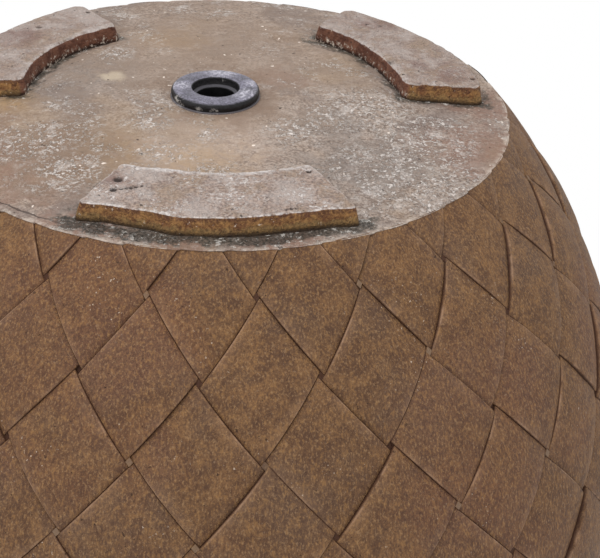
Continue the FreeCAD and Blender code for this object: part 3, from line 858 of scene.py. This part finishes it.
def make_pad_material():
    """Pads: dusty mauve-tan where they meet the ground, olive and rust down their sides."""
    n = Nodes("foot_pads")
    grain = n.noise(820, 2, 0.65)
    mottle = n.noise(170, 5, 0.72, None, 0.4)
    stains = n.noise(40, 4, 0.62, None, 0.3)
    edge = n.noise(60, 4, 0.65)
    front = n.ramp(n.axes(n.place)[1], -0.02, -0.08, 0.35, 1.0)
    face = n.mix(n.ramp(grain, 0.34, 0.66), tint(112, 95, 87), tint(164, 145, 134))
    face = n.mix(n.ramp(front, 0.35, 1.0, 0.55, 0.0), face, tint(139, 121, 111))
    face = n.mix(n.ramp(stains, 0.48, 0.62, 0, 0.55), face, tint(142, 121, 101))
    face = n.mix(n.ramp(mottle, 0.45, 0.34, 0, 0.5), face, tint(102, 87, 84))
    face = n.mix(n.ramp(mottle, 0.53, 0.64, 0, 0.5), face, tint(172, 160, 154))
    face = n.mix(n.ramp(stains, 0.52, 0.40, 0, 0.55), face, tint(168, 156, 150))
    marks = n.spots(PAD_MARKS, edge)
    face = n.mix(n.both(marks, n.ramp(mottle, 0.36, 0.6, 0.3, 0.75)), face, tint(112, 86, 78))
    dust = n.ramp(n.noise(520, 3, 0.75), 0.48, 0.62)
    dusty = n.ramp(n.noise(60, 4, 0.6), 0.44, 0.62, 0.15, 0.8)
    face = n.mix(n.both(dust, front, dusty), face, tint(208, 200, 196))
    foot = n.math("ADD", n.attribute("foot"), n.ramp(mottle, 0.3, 0.7, -0.2, 0.2))
    inner = n.both(n.ramp(n.radius(), 0.0945, 0.0915), front, n.ramp(n.noise(300, 4, 0.7), 0.36, 0.54))
    face = n.mix(n.both(inner, 0.75), face, tint(204, 198, 196))
    rust = n.mix(n.ramp(mottle, 0.38, 0.62), tint(108, 72, 47), tint(142, 104, 64))
    rust = n.mix(n.ramp(foot, 0.30, 0.05, 0, 0.75), rust, tint(88, 57, 42))
    rust = n.mix(n.ramp(foot, 0.55, 0.95, 0, 0.60), rust, tint(116, 98, 66))
    rust = n.mix(n.ramp(grain, 0.50, 0.66, 0, 0.5), rust, tint(162, 124, 80))
    rust = n.mix(n.ramp(grain, 0.48, 0.36, 0, 0.5), rust, tint(74, 50, 34))
    dark = n.mix(n.ramp(mottle, 0.40, 0.62), tint(82, 50, 38), tint(112, 76, 60))
    side = n.mix(n.attribute("inward"), rust, dark)
    crumbs = n.both(n.attribute("inward"), n.ramp(foot, 0.62, 1.0),
                    n.ramp(n.noise(420, 4, 0.75), 0.53, 0.61))
    side = n.mix(n.both(crumbs, 0.8), side, tint(190, 178, 164))
    drips = n.ramp(n.noise(420, 3, 0.6), 0.66, 0.72)
    side = n.mix(n.both(drips, 0.75), side, tint(200, 182, 164))
    ragged = n.math("ADD", n.attribute("side"), n.ramp(mottle, 0.3, 0.7, -0.25, 0.25))
    colour = n.mix(n.ramp(ragged, 0.3, 0.7), face, side)
    # Pale rim on the pads: dust and a painted highlight, strongest at the front.
    rim_dust_and_highlight = n.both(n.attribute("rim_dust_and_highlight"), n.ramp(ragged, 0.85, 0.55),
                 n.ramp(n.noise(300, 4, 0.7), 0.40, 0.56))
    colour = n.mix(n.both(rim_dust_and_highlight, front, 0.75), colour, tint(212, 204, 200))
    # The dirt mask darkens the pad where it meets the slab and in its pits: painted shade.
    pits = n.most(n.both(n.ramp(n.noise(360, 2, 0.5), 0.29, 0.24), 0.75),
                  n.both(n.attribute("dirt_and_shade"), 0.9, n.ramp(crumbs, 0.5, 0.0)))
    colour = n.mix(pits, colour, tint(40, 30, 26))
    n.shader.inputs["Specular IOR Level"].default_value = 0.3
    n.normal((mottle, 0.0006), (dust, 0.0003), (grain, 0.00034), (pits, -0.0005))
    return n.finish(colour, n.ramp(grain, 0.3, 0.7, 0.62, 0.9))


# Marks on the grommet's face and sides, as (x, y, z, radius): the first is a painted highlight at the
# back of the face, the rest are pale smears
SMEARS_AND_HIGHLIGHT = ((-0.003, 0.0180, 0.001, 0.0085), (-0.0135, -0.0080, 0.001, 0.0062),
          (0.0165, 0.0010, 0.001, 0.0048), (-0.0190, 0.0040, 0.001, 0.0050))
CRUSTS = ((0.0180, -0.0110, 0.0048, 0.0044), (0.0010, -0.0208, 0.0052, 0.0022),
          (0.0080, -0.0192, 0.0040, 0.0016))


def make_rubber_material():
    """Black rubber, dusty blue-grey where it faces the ground, with pale crust and smears, a painted
    highlight at the back of the face and painted shade in the bore.
    """
    n = Nodes("grommet_rubber")
    grain = n.noise(1000, 2, 0.7)
    smear = n.noise(170, 5, 0.7, n.stretched((0.5, 1.0, 1.0)), 0.6)
    edge = n.noise(400, 3, 0.7)
    upward = n.axes(n.add("ShaderNodeNewGeometry").outputs["Normal"])[2]
    level = n.axes(n.place)[2]
    low, lip = GROMMET_LOW[2], under_level(GROMMET_HIGH[0])
    down = n.both(n.ramp(upward, -0.62, -0.97), n.ramp(level, low + 0.0026, low + 0.0012))
    dust = n.both(down, n.ramp(smear, 0.30, 0.62, 0.50, 1.0), n.ramp(grain, 0.34, 0.62, 0.45, 1.0))
    colour = n.mix(n.ramp(grain, 0.3, 0.7), tint(19, 18, 19), tint(34, 32, 34))
    colour = n.mix(n.both(dust, 0.92), colour, tint(130, 127, 142))
    # Pale smears, and a painted highlight at the back of the face.
    smears_and_highlight = n.both(n.spots(SMEARS_AND_HIGHLIGHT, edge), down, n.ramp(n.noise(420, 3, 0.75), 0.42, 0.60, 0.15, 1.0))
    colour = n.mix(n.both(smears_and_highlight, 0.75), colour, tint(196, 193, 204))
    crust = n.most(n.both(n.spots(CRUSTS, edge), n.ramp(n.noise(500, 3, 0.7), 0.42, 0.56)),
                   n.both(n.ramp(n.noise(260, 5, 0.75), 0.64, 0.72), n.ramp(smear, 0.45, 0.6)))
    colour = n.mix(n.both(crust, 0.75), colour, tint(186, 181, 176))
    ledge = n.both(n.ramp(level, low + 0.0036, low + 0.0041), n.ramp(level, low + 0.0052, low + 0.0046),
                   n.ramp(upward, -0.4, -0.8))
    colour = n.mix(n.both(ledge, 0.7), colour, tint(84, 82, 88))
    # Painted shade inside the bore.
    bore = n.both(n.ramp(n.radius(), 0.0096, 0.0092), n.ramp(level, low + 0.0046, low + 0.0054))
    colour = n.mix(n.both(bore, 0.9), colour, tint(6, 6, 7))
    thin = n.both(n.ramp(level, lip + 0.0002, lip + 0.0006), n.ramp(level, 0.0085, 0.0070))
    colour = n.mix(n.both(thin, n.ramp(n.radius(), 0.0180, 0.0190), 0.5), colour, tint(112, 104, 106))
    n.shader.inputs["Specular IOR Level"].default_value = 0.30
    n.normal((smear, 0.0003), (grain, 0.00022))
    return n.finish(colour, n.ramp(smear, 0.3, 0.7, 0.38, 0.65))


# ---------------------------------------------------------------- studio

def add_floor():
    """A pale floor that shows only from above, because the camera and the key light are under it."""
    mesh = bpy.data.meshes.new("floor")
    half = 30.0
    corners = [(-half, -half, 0), (half, -half, 0), (half, half, 0), (-half, half, 0)]
    mesh.from_pydata(corners, [], [(0, 1, 2, 3)])
    floor = bpy.data.objects.new("floor", mesh)
    bpy.context.scene.collection.objects.link(floor)
    n = Nodes("floor")
    geometry = n.add("ShaderNodeNewGeometry")
    clear = n.add("ShaderNodeBsdfTransparent")
    either = n.add("ShaderNodeMixShader")
    n.link(geometry.outputs["Backfacing"], either.inputs["Fac"])
    n.link(n.shader.outputs[0], either.inputs[1])
    n.link(clear.outputs[0], either.inputs[2])
    n.link(either.outputs[0], n.tree.nodes["Material Output"].inputs["Surface"])
    n.shader.inputs["Base Color"].default_value = (0.80, 0.80, 0.79, 1.0)
    n.shader.inputs["Roughness"].default_value = 0.9
    mesh.materials.append(n.material)
    floor.visible_shadow = False
    floor.visible_diffuse = False
    floor.visible_glossy = False


def add_light(name, place, size, power, aim=(0.0, 0.0, 0.05)):
    data = bpy.data.lights.new(name, "AREA")
    data.shape = "DISK"
    data.size = size
    data.energy = power
    light = bpy.data.objects.new(name, data)
    light.location = place
    light.rotation_euler = (Vector(aim) - Vector(place)).to_track_quat("-Z", "Y").to_euler()
    bpy.context.scene.collection.objects.link(light)


def add_studio():
    """White surroundings, a broad soft key from below the base and a weaker one from above."""
    world = bpy.data.worlds.new("studio")
    world.use_nodes = True
    background = world.node_tree.nodes["Background"]
    background.inputs["Color"].default_value = (1.0, 1.0, 1.0, 1.0)
    background.inputs["Strength"].default_value = 1.0
    scene = bpy.context.scene
    scene.world = world
    scene.view_settings.view_transform = "Standard"
    add_light("key_below", (0.45, -0.35, -1.5), 1.0, 12.0)
    add_light("key_above", (-0.5, 0.9, 1.6), 1.2, 8.0, (0.0, 0.0, 0.2))


def add_camera():
    data = bpy.data.cameras.new("camera")
    data.lens = CAMERA_LENS
    data.sensor_width = 36.0
    data.clip_start = 0.01
    camera = bpy.data.objects.new("camera", data)
    camera.location = CAMERA_PLACE
    camera.rotation_mode = "QUATERNION"
    aim = (CAMERA_AIM - CAMERA_PLACE).to_track_quat("-Z", "Y")
    camera.rotation_quaternion = aim @ Quaternion((0, 0, 1), CAMERA_ROLL)
    bpy.context.scene.collection.objects.link(camera)
    bpy.context.scene.camera = camera


add_camera()
add_studio()
add_floor()
make_wall(make_wall_material())
make_slab(make_base_material())
pad_material = make_pad_material()
for number, (pad, pad_turn, shape) in enumerate(zip(PADS, PAD_TURNS, PAD_SHAPES)):
    make_pad(pad, pad_turn, 20.0 + 7 * number, *shape, pad_material)
make_grommet(make_rubber_material())
